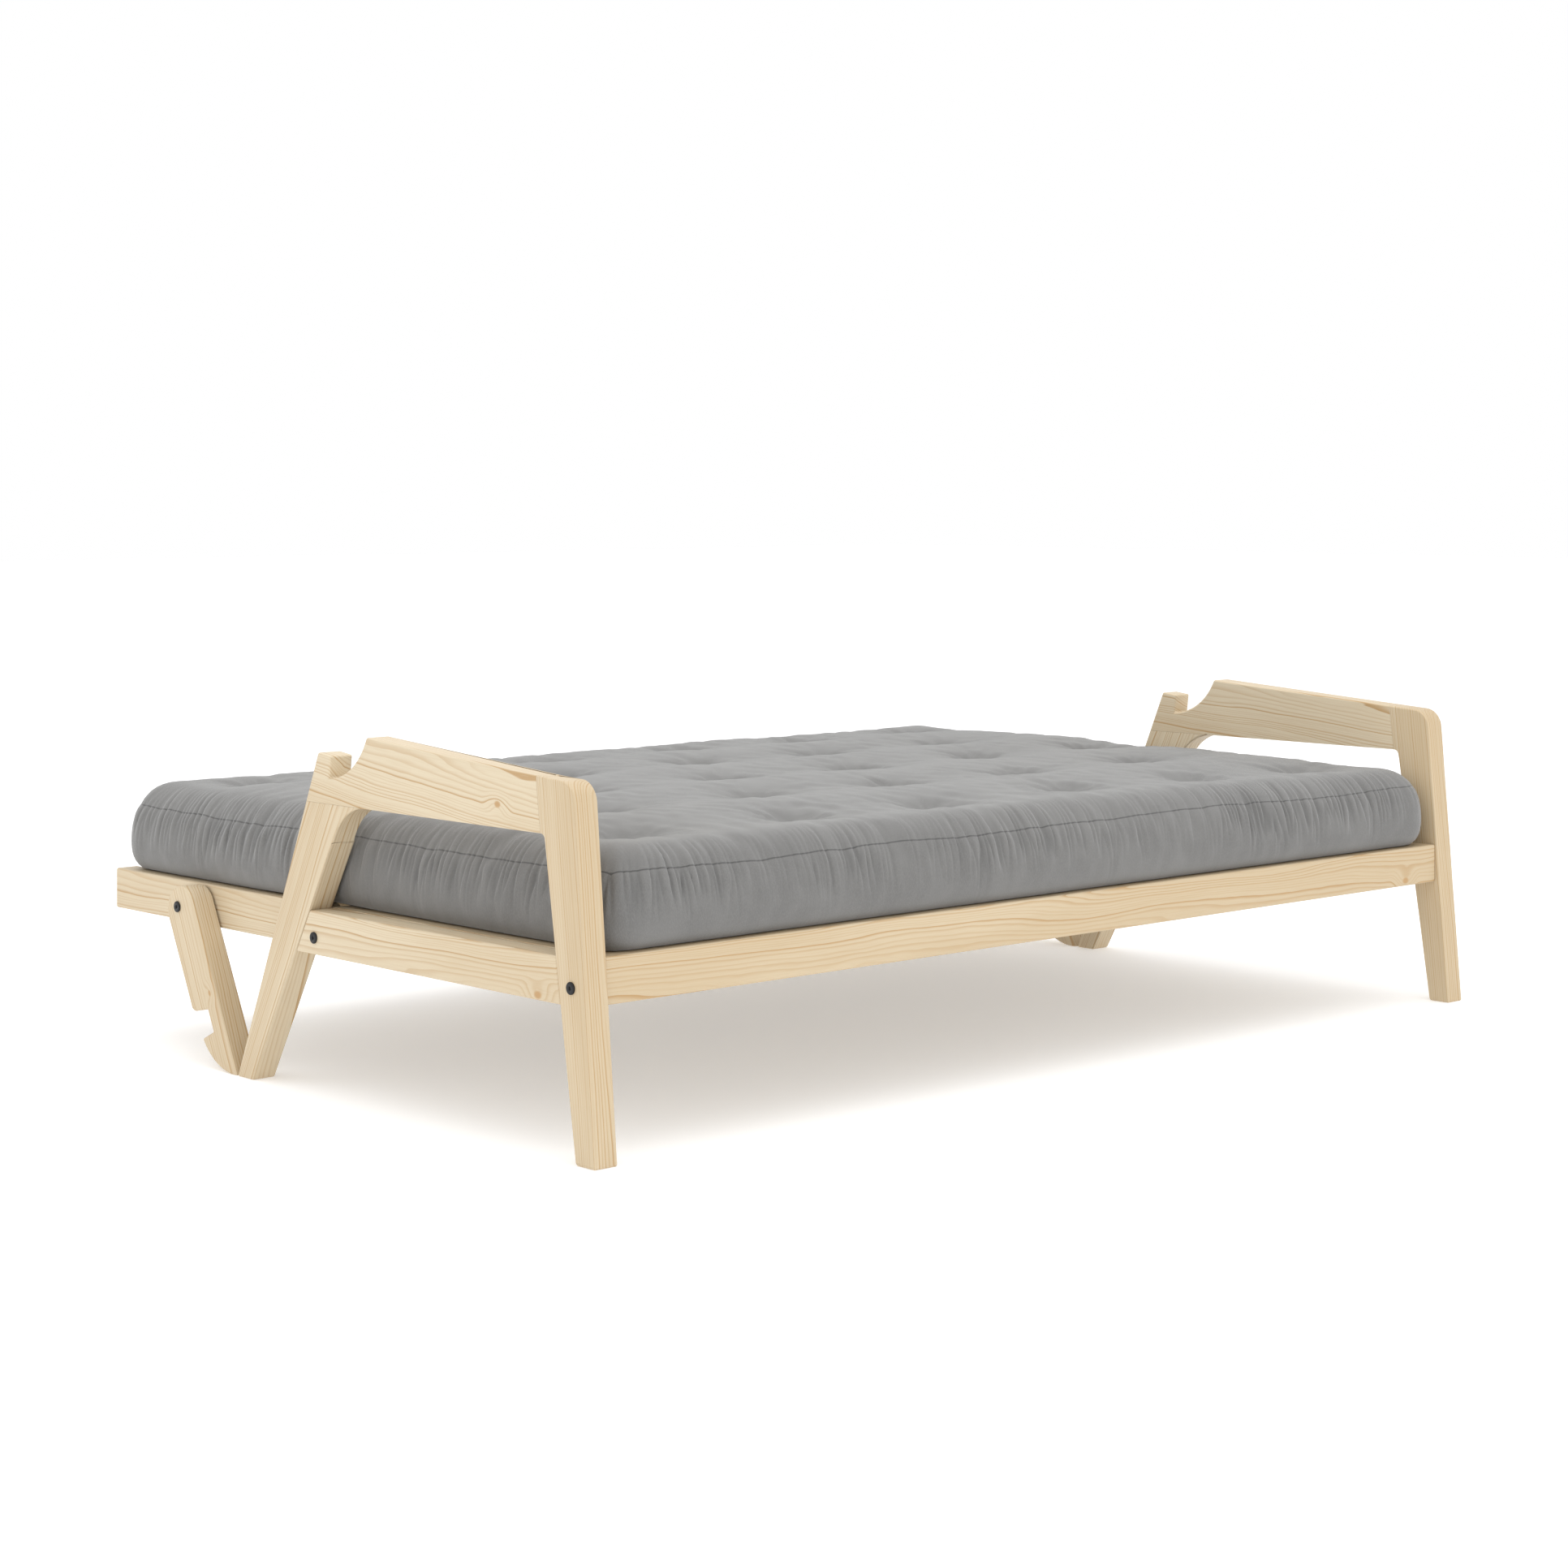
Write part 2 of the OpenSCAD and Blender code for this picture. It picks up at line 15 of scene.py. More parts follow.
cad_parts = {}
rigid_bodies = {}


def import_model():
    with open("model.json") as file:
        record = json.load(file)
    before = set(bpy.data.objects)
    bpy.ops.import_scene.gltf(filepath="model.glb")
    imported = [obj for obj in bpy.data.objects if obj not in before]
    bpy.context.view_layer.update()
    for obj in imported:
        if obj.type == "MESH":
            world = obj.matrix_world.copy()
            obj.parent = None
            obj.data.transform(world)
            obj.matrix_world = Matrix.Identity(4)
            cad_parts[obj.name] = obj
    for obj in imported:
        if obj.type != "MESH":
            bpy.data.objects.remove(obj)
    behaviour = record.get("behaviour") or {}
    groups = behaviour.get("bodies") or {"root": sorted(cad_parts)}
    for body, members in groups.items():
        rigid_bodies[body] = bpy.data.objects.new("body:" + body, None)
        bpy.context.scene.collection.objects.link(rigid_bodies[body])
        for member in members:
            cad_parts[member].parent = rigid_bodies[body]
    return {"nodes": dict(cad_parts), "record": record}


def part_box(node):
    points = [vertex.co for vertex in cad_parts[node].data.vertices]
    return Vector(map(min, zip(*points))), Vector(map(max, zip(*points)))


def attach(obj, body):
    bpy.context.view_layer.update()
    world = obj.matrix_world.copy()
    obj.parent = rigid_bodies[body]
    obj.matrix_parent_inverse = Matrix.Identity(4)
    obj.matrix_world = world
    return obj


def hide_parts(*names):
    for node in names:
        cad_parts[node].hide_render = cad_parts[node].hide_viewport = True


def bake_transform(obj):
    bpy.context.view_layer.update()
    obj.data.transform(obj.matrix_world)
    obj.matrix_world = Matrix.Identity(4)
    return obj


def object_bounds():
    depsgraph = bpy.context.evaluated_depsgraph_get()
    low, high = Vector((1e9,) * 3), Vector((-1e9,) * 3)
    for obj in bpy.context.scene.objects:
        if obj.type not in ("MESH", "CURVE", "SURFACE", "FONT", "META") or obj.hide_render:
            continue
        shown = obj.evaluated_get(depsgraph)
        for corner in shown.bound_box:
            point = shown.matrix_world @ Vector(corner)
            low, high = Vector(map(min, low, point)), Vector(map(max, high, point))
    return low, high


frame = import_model()
drawn_low, drawn_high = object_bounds()
print("drawn size", [round(v, 3) for v in drawn_high - drawn_low])


# %% [markdown]
# ## Selecting by hand, in code
# An operator works on whatever is selected, as the mouse would leave it. These helpers deselect everything
# first, so that each operator touches one piece only.

# %% Helpers for selecting and copying
def only(piece):
    bpy.ops.object.select_all(action="DESELECT")
    piece.select_set(True)
    bpy.context.view_layer.objects.active = piece


def copy_of(source, name):
    only(source)
    bpy.ops.object.duplicate()
    piece = bpy.context.active_object
    piece.name = name
    bpy.ops.object.parent_clear(type="CLEAR_KEEP_TRANSFORM")
    return piece


def remove(piece):
    only(piece)
    bpy.ops.object.delete()


def apply_modifier(piece, kind, **settings):
    only(piece)
    modifier = piece.modifiers.new(kind.lower(), kind)
    for key, value in settings.items():
        setattr(modifier, key, value)
    bpy.ops.object.modifier_apply(modifier=modifier.name)


# %% [markdown]
# ## Clean board meshes
# A drawn part arrives as loose triangles. A copy of it is merged, and its flat faces are dissolved back to one
# face each. Only then can an edge be eased like the edge of a real board, with sandpaper. The rims of the dowel
# holes stay sharp: they are short edges, and they are hidden in the joints.

# %% Merge a copy and ease its edges
WELD = 0.00002
FLAT_ANGLE = math.radians(0.5)
SHARP_ANGLE = math.radians(28)
SMOOTH_ANGLE = math.radians(38)


def merge_flat(piece):
    only(piece)
    bpy.ops.object.mode_set(mode="EDIT")
    bpy.ops.mesh.select_all(action="SELECT")
    bpy.ops.mesh.remove_doubles(threshold=WELD)
    bpy.ops.mesh.dissolve_limited(angle_limit=FLAT_ANGLE)
    bpy.ops.object.mode_set(mode="OBJECT")


def ease_edges(piece, width, shortest=0.003):
    only(piece)
    bpy.ops.object.mode_set(mode="EDIT")
    bpy.ops.mesh.select_mode(type="EDGE")
    bpy.ops.mesh.select_all(action="DESELECT")
    bpy.ops.mesh.edges_select_sharp(sharpness=SHARP_ANGLE)
    cage = bmesh.from_edit_mesh(piece.data)
    for edge in cage.edges:
        if edge.select and edge.calc_length() < shortest:
            edge.select_set(False)
    cage.select_flush_mode()
    bmesh.update_edit_mesh(piece.data)
    bpy.ops.mesh.bevel(offset=width, segments=3, affect="EDGES", clamp_overlap=False)
    bpy.ops.object.mode_set(mode="OBJECT")


def smooth_round_edges(piece):
    only(piece)
    bpy.ops.object.shade_smooth_by_angle(angle=SMOOTH_ANGLE)
    apply_modifier(piece, "WEIGHTED_NORMAL", keep_sharp=True)


# %% [markdown]
# ## Pine
# Pine is pale, with a darker line of latewood at the end of each year's growth. The rings are long tubes round
# the middle of the log, so one solid pattern gives cathedral arches on a board's wide face, straight lines on
# its edge, and arcs on its end. Each board reads its own coordinates: along the grain, across the face, and
# into the board. The log leans and wobbles a little, which makes the waves and eyes. Where a branch grew, the
# rings bend round it and leave an amber knot.

# %% Small helpers for shader nodes
def add_node(tree, kind, inputs=None, **settings):
    made = tree.nodes.new(kind)
    for key, value in settings.items():
        setattr(made, key, value)
    for socket, value in (inputs or {}).items():
        if isinstance(value, bpy.types.NodeSocket):
            tree.links.new(value, made.inputs[socket])
        else:
            made.inputs[socket].default_value = value
    return made


def calc(tree, operation, a, b=0.0, c=0.0):
    return add_node(tree, "ShaderNodeMath", {0: a, 1: b, 2: c}, operation=operation).outputs[0]


def ramp(tree, value, low, high, to_low=0.0, to_high=1.0, shape="SMOOTHSTEP"):
    made = add_node(tree, "ShaderNodeMapRange", {"Value": value}, interpolation_type=shape)
    made.inputs["From Min"].default_value = low
    made.inputs["From Max"].default_value = high
    made.inputs["To Min"].default_value = to_low
    made.inputs["To Max"].default_value = to_high
    return made.outputs["Result"]


def speckle(tree, vector, stretch, detail=2.0):
    scaled = add_node(tree, "ShaderNodeVectorMath", {0: vector, 1: stretch}, operation="MULTIPLY").outputs[0]
    made = add_node(tree, "ShaderNodeTexNoise", {"Vector": scaled, "Scale": 1.0, "Detail": detail})
    return made.outputs["Fac"]


def reading_along(tree, vector, axis):
    return add_node(tree, "ShaderNodeVectorMath", {0: vector, 1: axis}, operation="DOT_PRODUCT").outputs["Value"]


def mix_colour(tree, factor, a, b):
    made = add_node(tree, "ShaderNodeMix", data_type="RGBA", blend_type="MIX")
    for index, value in ((0, factor), (6, a), (7, b)):
        if isinstance(value, bpy.types.NodeSocket):
            tree.links.new(value, made.inputs[index])
        else:
            made.inputs[index].default_value = value
    colour_out = 2
    return made.outputs[colour_out]


def fresh_material(name):
    material = bpy.data.materials.new(name)
    material.use_nodes = True
    return material, material.node_tree, material.node_tree.nodes["Principled BSDF"]


# %% The pine material
CREAM = (0.655, 0.560, 0.405, 1.0)
HONEY = (0.555, 0.442, 0.288, 1.0)
LATEWOOD = (0.420, 0.245, 0.090, 1.0)
KNOT = (0.22, 0.10, 0.04, 1.0)
AMBER = (0.46, 0.27, 0.11, 1.0)
KNOT_LENGTH = 1.5


def branch_knots(tree, local, knots, radius):
    """Bends the rings round each knot, and gives how far into a knot a point is."""
    heart = 0.0
    for along, across, size in knots:
        off_along = calc(tree, "DIVIDE", calc(tree, "SUBTRACT", local[0], along), KNOT_LENGTH)
        off_across = calc(tree, "SUBTRACT", local[1], across)
        square_across = calc(tree, "MULTIPLY", off_across, off_across)
        distance = calc(tree, "SQRT", calc(tree, "MULTIPLY_ADD", off_along, off_along, square_across))
        radius = calc(tree, "ADD", radius, ramp(tree, distance, 0.0, size * 5.0, size * 1.6, 0.0))
        heart = calc(tree, "MAXIMUM", heart, ramp(tree, distance, size * 0.5, size * 1.15, 1.0, 0.0))
    return radius, heart


def pine(
    name, centre, along, face, pith=(0.02, 0.05), wobble=0.007, lean=0.010, ring=0.0040, seed=0.0,
    warmth=0.3, knots=(),
):
    """A board's material. The pith is the log's middle, given across the face and into the board."""
    material, tree, shader = fresh_material(name)
    across = Vector(face).cross(Vector(along)).normalized()
    place = add_node(tree, "ShaderNodeTexCoord").outputs["Object"]
    place = add_node(tree, "ShaderNodeVectorMath", {0: place, 1: centre}, operation="SUBTRACT").outputs[0]
    local = [
        reading_along(tree, place, tuple(axis))
        for axis in (Vector(along).normalized(), across, Vector(face).normalized())
    ]
    seeded = [calc(tree, "ADD", local[0], seed * 3.7), calc(tree, "ADD", local[1], seed), local[2]]
    grain = add_node(tree, "ShaderNodeCombineXYZ", dict(enumerate(seeded))).outputs[0]
    slow = speckle(tree, grain, (2.2, 11.0, 11.0), 1.0)
    quick = speckle(tree, grain, (9.0, 42.0, 42.0), 2.0)
    side = calc(tree, "SUBTRACT", local[1], pith[0])
    deep = calc(tree, "SUBTRACT", local[2], pith[1])
    radius = calc(tree, "SQRT", calc(tree, "MULTIPLY_ADD", side, side, calc(tree, "MULTIPLY", deep, deep)))
    radius = calc(tree, "MULTIPLY_ADD", slow, wobble * 3.0, radius)
    radius = calc(tree, "MULTIPLY_ADD", quick, wobble * 0.34, radius)
    radius = calc(tree, "MULTIPLY_ADD", local[0], lean, radius)
    radius, heart = branch_knots(tree, local, knots, radius)
    uneven = add_node(tree, "ShaderNodeTexNoise", {"W": radius, "Scale": 55.0}, noise_dimensions="1D")
    radius = calc(tree, "MULTIPLY_ADD", uneven.outputs["Fac"], ring * 3.2, radius)
    rings = calc(tree, "DIVIDE", radius, ring)
    year = calc(tree, "FLOOR", rings)
    season = calc(tree, "FRACT", rings)
    rise = calc(tree, "POWER", ramp(tree, season, 0.25, 0.94), 2.2)
    fall = ramp(tree, season, 0.94, 1.0, 1.0, 0.0)
    weather = add_node(tree, "ShaderNodeTexWhiteNoise", {"W": year}, noise_dimensions="1D").outputs["Value"]
    strength = ramp(tree, weather, 0.0, 1.0, 0.18, 1.0)
    late = calc(tree, "MULTIPLY", calc(tree, "MULTIPLY", rise, fall), strength)
    tone = speckle(tree, grain, (1.3, 9.0, 9.0), 3.0)
    fibre = speckle(tree, grain, (18.0, 520.0, 520.0), 3.0)
    colour = mix_colour(tree, ramp(tree, tone, 0.34, 0.70, warmth - 0.3, warmth + 0.4), CREAM, HONEY)
    colour = mix_colour(tree, calc(tree, "MULTIPLY", late, 0.88), colour, LATEWOOD)
    colour = mix_colour(tree, ramp(tree, fibre, 0.35, 0.75, 0.0, 0.10), colour, LATEWOOD)
    pins = add_node(tree, "ShaderNodeTexVoronoi", {"Vector": grain, "Scale": 6.0}, feature="F1")
    colour = mix_colour(tree, ramp(tree, pins.outputs["Distance"], 0.006, 0.016, 0.75, 0.0), colour, KNOT)
    colour = mix_colour(tree, calc(tree, "MULTIPLY", heart, 0.85), colour, AMBER)
    tree.links.new(colour, shader.inputs["Base Color"])
    tree.links.new(ramp(tree, late, 0.0, 0.8, 0.52, 0.40), shader.inputs["Roughness"])
    shader.inputs["Specular IOR Level"].default_value = 0.42
    relief = calc(tree, "MULTIPLY_ADD", late, 0.6, calc(tree, "MULTIPLY", fibre, 0.5))
    bump = add_node(tree, "ShaderNodeBump", {"Height": relief, "Strength": 0.35, "Distance": 0.00025})
    tree.links.new(bump.outputs["Normal"], shader.inputs["Normal"])
    return material


# %% [markdown]
# ## From copy to finished piece
# A finished piece takes its material, hides the drawn parts it stands for, and rides on a body so that it
# moves with the joints.

# %% Finish a timber piece
def middle(piece):
    corners = [Vector(corner) for corner in piece.bound_box]
    return tuple(sum(corners, Vector()) / 8)


def finish_timber(piece, nodes, body, slot="pine", **grain):
    smooth_round_edges(piece)
    piece.data.materials.clear()
    piece.data.materials.append(pine(piece.name + "_grain", middle(piece), **grain))
    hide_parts(*nodes)
    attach(piece, body)


# %% [markdown]
# ## The side frames
# Each side frame is a front leg, an armrest and a rear leg, glued on dowels and then sanded as one. That is how
# it is made here too: the three copies are united into one blank, the blank's edges are eased, and the blank is
# sawn apart again along the glue lines. So the round edges run on over each joint, and the joint itself is a
# fine straight line where the grain turns.

# %% Unite the boards of one side
GLUE_LINE = 0.00012
EASED = 0.0035
DEPTH = drawn_high.y - drawn_low.y


def at(y, z):
    """A point of the side frame: y from the front foot and z from the floor, in millimetres."""
    return Vector((0.0, y / 1000 - DEPTH / 2, z / 1000))


def blank_of(side):
    blank = copy_of(frame["nodes"][f"{side}_front_leg"], f"{side}_side_blank")
    merge_flat(blank)
    for part in ("armrest", "rear_leg"):
        board = copy_of(frame["nodes"][f"{side}_{part}"], "board_to_glue")
        merge_flat(board)
        apply_modifier(blank, "BOOLEAN", operation="UNION", solver="EXACT", object=board)
        remove(board)
    merge_flat(blank)
    return blank


def without_inner_holes(blank):
    only(blank)
    bpy.ops.object.mode_set(mode="EDIT")
    bpy.ops.mesh.select_all(action="SELECT")
    bpy.ops.mesh.separate(type="LOOSE")
    bpy.ops.object.mode_set(mode="OBJECT")
    shells = list(bpy.context.selected_objects)
    shells.sort(key=lambda shell: shell.dimensions.length)
    for shell in shells[:-1]:
        remove(shell)
    return shells[-1]


blanks = {side: without_inner_holes(blank_of(side)) for side in ("left", "right")}
for side, blank in blanks.items():
    ease_edges(blank, EASED)
    print(side, "side blank:", len(blank.data.polygons), "faces,", [round(v, 3) for v in blank.dimensions])


# %% Saw the blanks along their glue lines
SEAM_FOOT = at(122, 455)
SEAM_TOP = at(132, 536)
seam = (SEAM_TOP - SEAM_FOOT).normalized()
BEHIND_SEAM = Vector((0.0, seam.z, -seam.y))
UP = Vector((0.0, 0.0, 1.0))


def saw(piece, point, waste_side):
    only(piece)
    bpy.ops.object.mode_set(mode="EDIT")
    bpy.ops.mesh.select_all(action="SELECT")
    start = point - waste_side * GLUE_LINE
    bpy.ops.mesh.bisect(plane_co=start, plane_no=waste_side, use_fill=True, clear_outer=True)
    bpy.ops.object.mode_set(mode="OBJECT")


CUTS = {
    "front_leg": [(SEAM_FOOT, BEHIND_SEAM)],
    "armrest": [(SEAM_FOOT, -BEHIND_SEAM), (SEAM_FOOT, -UP)],
    "rear_leg": [(SEAM_FOOT, -BEHIND_SEAM), (SEAM_FOOT, UP)],
}
GRAIN = {
    "front_leg": {"along": (0, 0.12, 1), "pith": (0.07, 0.03), "wobble": 0.004, "ring": 0.0036, "warmth": 0.85},
    "armrest": {"along": (0, 1, 0.066), "pith": (0.048, 0.040), "wobble": 0.012, "lean": 0.014, "warmth": 0.15},
    "rear_leg": {"along": (0, -0.49, 1), "pith": (0.050, 0.04), "wobble": 0.007, "warmth": 0.35},
}
ARMREST_KNOTS = [(-0.197, -0.008, 0.0055)]
for number, (side, blank) in enumerate(blanks.items()):
    for order, (part, cuts) in enumerate(CUTS.items()):
        board = copy_of(blank, f"{side}_{part}_board")
        for point, waste_side in cuts:
            saw(board, point, waste_side)
        seed = 1.3 * number + 0.41 * order + 0.2
        knots = ARMREST_KNOTS if board.name.startswith("left_armrest") else ()
        finish_timber(board, [f"{side}_{part}"], "frame", face=(1, 0, 0), seed=seed, knots=knots, **GRAIN[part])
        print(board.name, len(board.data.polygons), "faces")
    remove(blank)


# %% [markdown]
# ## Rails, slats and support arms
# The other boards are eased all round, because their ends show: the side rails leave a fine shadow gap against
# the legs, and the support arms swing free. Slats are thinner and get a smaller rounding.

# %% Ease the rails and the support arms
ALONG_X = {"along": (1, 0, 0), "face": (0, 1, 0)}
ALONG_Y = {"along": (0, 1, 0), "face": (1, 0, 0)}
ALONG_ARM = {"along": (0, 0.457, 0.889), "face": (1, 0, 0)}
RAILS = [
    ("front_rail", "frame", ALONG_X, (0.044, 0.040), 0.013, 1.0, [(0.887, 0.024, 0.0065)]),
    ("rear_rail", "frame", ALONG_X, (0.05, 0.06), 0.008, 0.4, []),
    ("slat_ledger", "frame", ALONG_X, (0.02, 0.05), 0.006, 0.4, []),
    ("left_side_rail", "frame", ALONG_Y, (-0.042, 0.040), 0.011, 0.3, [(-0.280, -0.026, 0.0065)]),
    ("right_side_rail", "frame", ALONG_Y, (0.06, 0.05), 0.008, 0.3, []),
    ("left_backrest_rail", "backrest", ALONG_Y, (0.045, 0.045), 0.009, 0.2, [(0.06, -0.012, 0.005)]),
    ("right_backrest_rail", "backrest", ALONG_Y, (-0.06, 0.05), 0.008, 0.3, []),
    ("backrest_lower_rail", "backrest", ALONG_X, (0.0, 0.06), 0.009, 0.4, []),
    ("backrest_top_rail", "backrest", ALONG_X, (0.02, 0.05), 0.010, 0.4, [(-0.4, 0.01, 0.008)]),
    ("left_support_arm", "left_support", ALONG_ARM, (0.040, 0.040), 0.008, 0.45, [(-0.03, 0.012, 0.004)]),
    ("right_support_arm", "right_support", ALONG_ARM, (0.03, 0.07), 0.006, 0.35, []),
]


def eased_timber(node, body, width, **grain):
    piece = copy_of(frame["nodes"][node], node + "_board")
    merge_flat(piece)
    ease_edges(piece, width)
    finish_timber(piece, [node], body, **grain)


for number, (node, body, direction, pith, wobble, warmth, knots) in enumerate(RAILS):
    look = {"pith": pith, "wobble": wobble, "warmth": warmth, "knots": knots, "seed": 2.1 + 0.57 * number}
    eased_timber(node, body, EASED, **look, **direction)
print(len(RAILS), "rails and arms eased")

# %% Ease the slats
SLATS = 12
SLAT_EASED = 0.0015
for group, body in (("seat_slat", "frame"), ("back_slat", "backrest")):
    for number in range(1, SLATS + 1):
        eased_timber(
            f"{group}_{number}", body, SLAT_EASED, slot="slat_pine", along=(0, 1, 0), face=(0, 0, 1),
            pith=(0.01 + 0.06 * math.sin(2.4 * number), 0.05), wobble=0.008, seed=0.83 * number,
        )
print(2 * SLATS, "slats eased")


# %% [markdown]
# ## Bolts and small hardware
# The bolts are black, with a low round head and a hex socket. The drawn shapes are right, so copies of them
# only get a small rounding at the rim. The hidden nuts, washers, screws and dowels keep their drawn shape and
# just take a finish.

# %% Metal and dowel finishes
def metal(name, colour, rough, metallic, scratch):
    material, tree, shader = fresh_material(name)
    place = add_node(tree, "ShaderNodeTexCoord").outputs["Object"]
    grime = speckle(tree, place, (260.0, 260.0, 260.0), 4.0)
    darker = tuple(v * 0.72 for v in colour) + (1.0,)
    patchy = mix_colour(tree, ramp(tree, grime, 0.3, 0.7), darker, colour + (1.0,))
    tree.links.new(patchy, shader.inputs["Base Color"])
    polish = ramp(tree, grime, 0.25, 0.75, rough - scratch, rough + scratch)
    tree.links.new(polish, shader.inputs["Roughness"])
    bump = add_node(tree, "ShaderNodeBump", {"Height": grime, "Strength": 0.15, "Distance": 0.0001})
    tree.links.new(bump.outputs["Normal"], shader.inputs["Normal"])
    shader.inputs["Metallic"].default_value = metallic
    return material


black_bolts = metal("black_bolts", (0.022, 0.022, 0.024), 0.42, 0.6, 0.08)
zinc = metal("zinc_hardware", (0.56, 0.57, 0.60), 0.36, 1.0, 0.10)
beech = pine("beech_dowels", (0.0, 0.0, 0.0), (0, 1, 0), (0, 0, 1), ring=0.002, seed=5.0)

BOLTS = {"frame_bolts": "frame", "hinge_bolts": "frame", "support_pivot_bolts": "backrest"}
RIM = 0.0007
for node, body in BOLTS.items():
    bolt = copy_of(frame["nodes"][node], node + "_black")
    merge_flat(bolt)
    apply_modifier(bolt, "BEVEL", width=RIM, segments=2, limit_method="ANGLE", angle_limit=math.radians(50))
    only(bolt)
    bpy.ops.object.shade_smooth_by_angle(angle=math.radians(35))
    bolt.data.materials.clear()
    bolt.data.materials.append(black_bolts)
    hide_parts(node)
    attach(bolt, body)

HARDWARE = {
    "barrel_nuts": zinc, "seat_slat_screws": zinc, "ledger_screws": zinc, "back_slat_screws": zinc,
    "hinge_insert_nuts": zinc, "hinge_washers": zinc, "support_washers": zinc, "support_pivot_nuts": black_bolts,
    "side_frame_dowels": beech, "backrest_dowels": beech,
}
for node, material in HARDWARE.items():
    drawn = frame["nodes"][node]
    drawn.data.materials.clear()
    drawn.data.materials.append(material)
print(len(BOLTS), "bolt sets and", len(HARDWARE), "hardware sets finished")


# %% [markdown]
# ## The futon
# The futon is a cotton cover over cotton and foam: a top, a bottom and a boxed border, sewn together at a seam
# that runs all the way round, then stitched through at rows of tufts. The filling pushes out, the tufts and
# seams hold it back, and the cover is a little too large, so it gathers. The large forms are drawn first, by
# formula: the dome, the soft shoulder, a hollow at each tuft and the bulged border. A short cloth simulation with
# pressure then loosens them, held within a few millimetres. The gathers and creases are worked in last, by noise.

# %% Sizes of the futon
seat_low, seat_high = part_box("mattress_seat")
back_low, back_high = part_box("mattress_back")
HINGE_Y = frame["record"]["behaviour"]["joints"][0]["pos_m"][1]
SWELL = 0.010
PROUD = 0.004
BASE_Z = seat_low.z
SEAM_Z = BASE_Z + 0.110
CORNER = 0.045
CROWN_Z = seat_high.z
low = Vector((seat_low.x + SWELL, seat_low.y + SWELL, BASE_Z))
high = Vector((seat_high.x - SWELL, back_high.y - SWELL, SEAM_Z))
CELL = 0.0165
ON_EDGE = 0.001
BORDER_CUTS = 7
columns = round((high.x - low.x) / CELL)
rows = round((high.y - low.y) / CELL)
print("futon cover", [round(v, 3) for v in high - low], columns, "by", rows, "cells")

# %% Sew the box: top, bottom and border
bpy.ops.object.select_all(action="DESELECT")
bpy.ops.mesh.primitive_grid_add(x_subdivisions=columns, y_subdivisions=rows, size=1.0)
futon = bpy.context.active_object
futon.name = "futon"
centre = (low + high) / 2
bpy.ops.object.mode_set(mode="EDIT")
bpy.ops.mesh.select_all(action="SELECT")
bpy.ops.transform.resize(value=(high.x - low.x, high.y - low.y, 1.0))
bpy.ops.transform.translate(value=(centre.x, centre.y, SEAM_Z))
bpy.ops.mesh.duplicate()
bpy.ops.transform.translate(value=(0.0, 0.0, BASE_Z - SEAM_Z))
bpy.ops.mesh.flip_normals()
bpy.ops.mesh.select_mode(type="EDGE")
bpy.ops.mesh.select_all(action="DESELECT")
bpy.ops.mesh.select_non_manifold()
bpy.ops.mesh.bridge_edge_loops(number_cuts=BORDER_CUTS)
bpy.ops.mesh.select_all(action="SELECT")
bpy.ops.mesh.normals_make_consistent(inside=False)
bpy.ops.object.mode_set(mode="OBJECT")
print("cover", len(futon.data.polygons), "faces")

# %% Tufts, and how far each point is from the seam
DIMPLE = 0.023
FLAT_CORNER = Vector((high.x, low.y))
SHOULDER = 0.058
DOME = 0.200
LIFT = CROWN_Z - SEAM_Z
TUFT_ROWS = [-0.487, -0.235, 0.025, 0.275, 0.512]
TUFT_STEP = 0.319
TUFT_DRIFT = 0.012
HOLLOW = 0.48
PIT = 0.52


def tuft_places():
    for number, y in enumerate(TUFT_ROWS):
        count = 6 if number % 2 == 0 else 5
        for place in range(count):
            drift = TUFT_DRIFT * math.sin(5.1 * number + 2.3 * place)
            yield Vector(((place - (count - 1) / 2) * TUFT_STEP + drift, y + drift * 0.6))


tufts = list(tuft_places())


def pulled_down(spot):
    """How much the tufts pull the top down here: a wide soft hollow and a narrow pit at each tuft."""
    pull = 0.0
    for tuft in tufts:
        off_x, off_y = spot.x - tuft.x, spot.y - tuft.y
        hollow = math.exp(-((off_x / 0.150) ** 2) - ((off_y / 0.080) ** 2))
        pit = math.exp(-((off_x / 0.046) ** 2) - ((off_y / 0.036) ** 2))
        pull += HOLLOW * hollow + PIT * pit
    return min(1.0, pull)


def inset(point):
    """How far a point is inside the futon's outline."""
    return min(point.x - low.x, high.x - point.x, point.y - low.y, high.y - point.y)


seam_reach = futon.data.attributes.new("seam_reach", "FLOAT", "POINT")
for vertex in futon.data.vertices:
    spot = vertex.co
    if spot.z > SEAM_Z - ON_EDGE:
        seam_reach.data[vertex.index].value = inset(spot)
    elif spot.z < BASE_Z + ON_EDGE:
        seam_reach.data[vertex.index].value = BASE_Z - SEAM_Z - inset(spot)
    else:
        seam_reach.data[vertex.index].value = spot.z - SEAM_Z
print(len(tufts), "tufts")


# %% Round the corners and the border
def round_corner(spot):
    """Moves a point near a square corner onto a round one."""
    for x_edge, x_way in ((low.x, 1), (high.x, -1)):
        for y_edge, y_way in ((low.y, 1), (high.y, -1)):
            hub = Vector((x_edge + x_way * CORNER, y_edge + y_way * CORNER))
            out = Vector(((hub.x - spot.x) * x_way, (hub.y - spot.y) * y_way))
            if out.x > 0 and out.y > 0:
                out = out.normalized() * max(out)
                spot.x = hub.x - out.x * x_way
                spot.y = hub.y - out.y * y_way


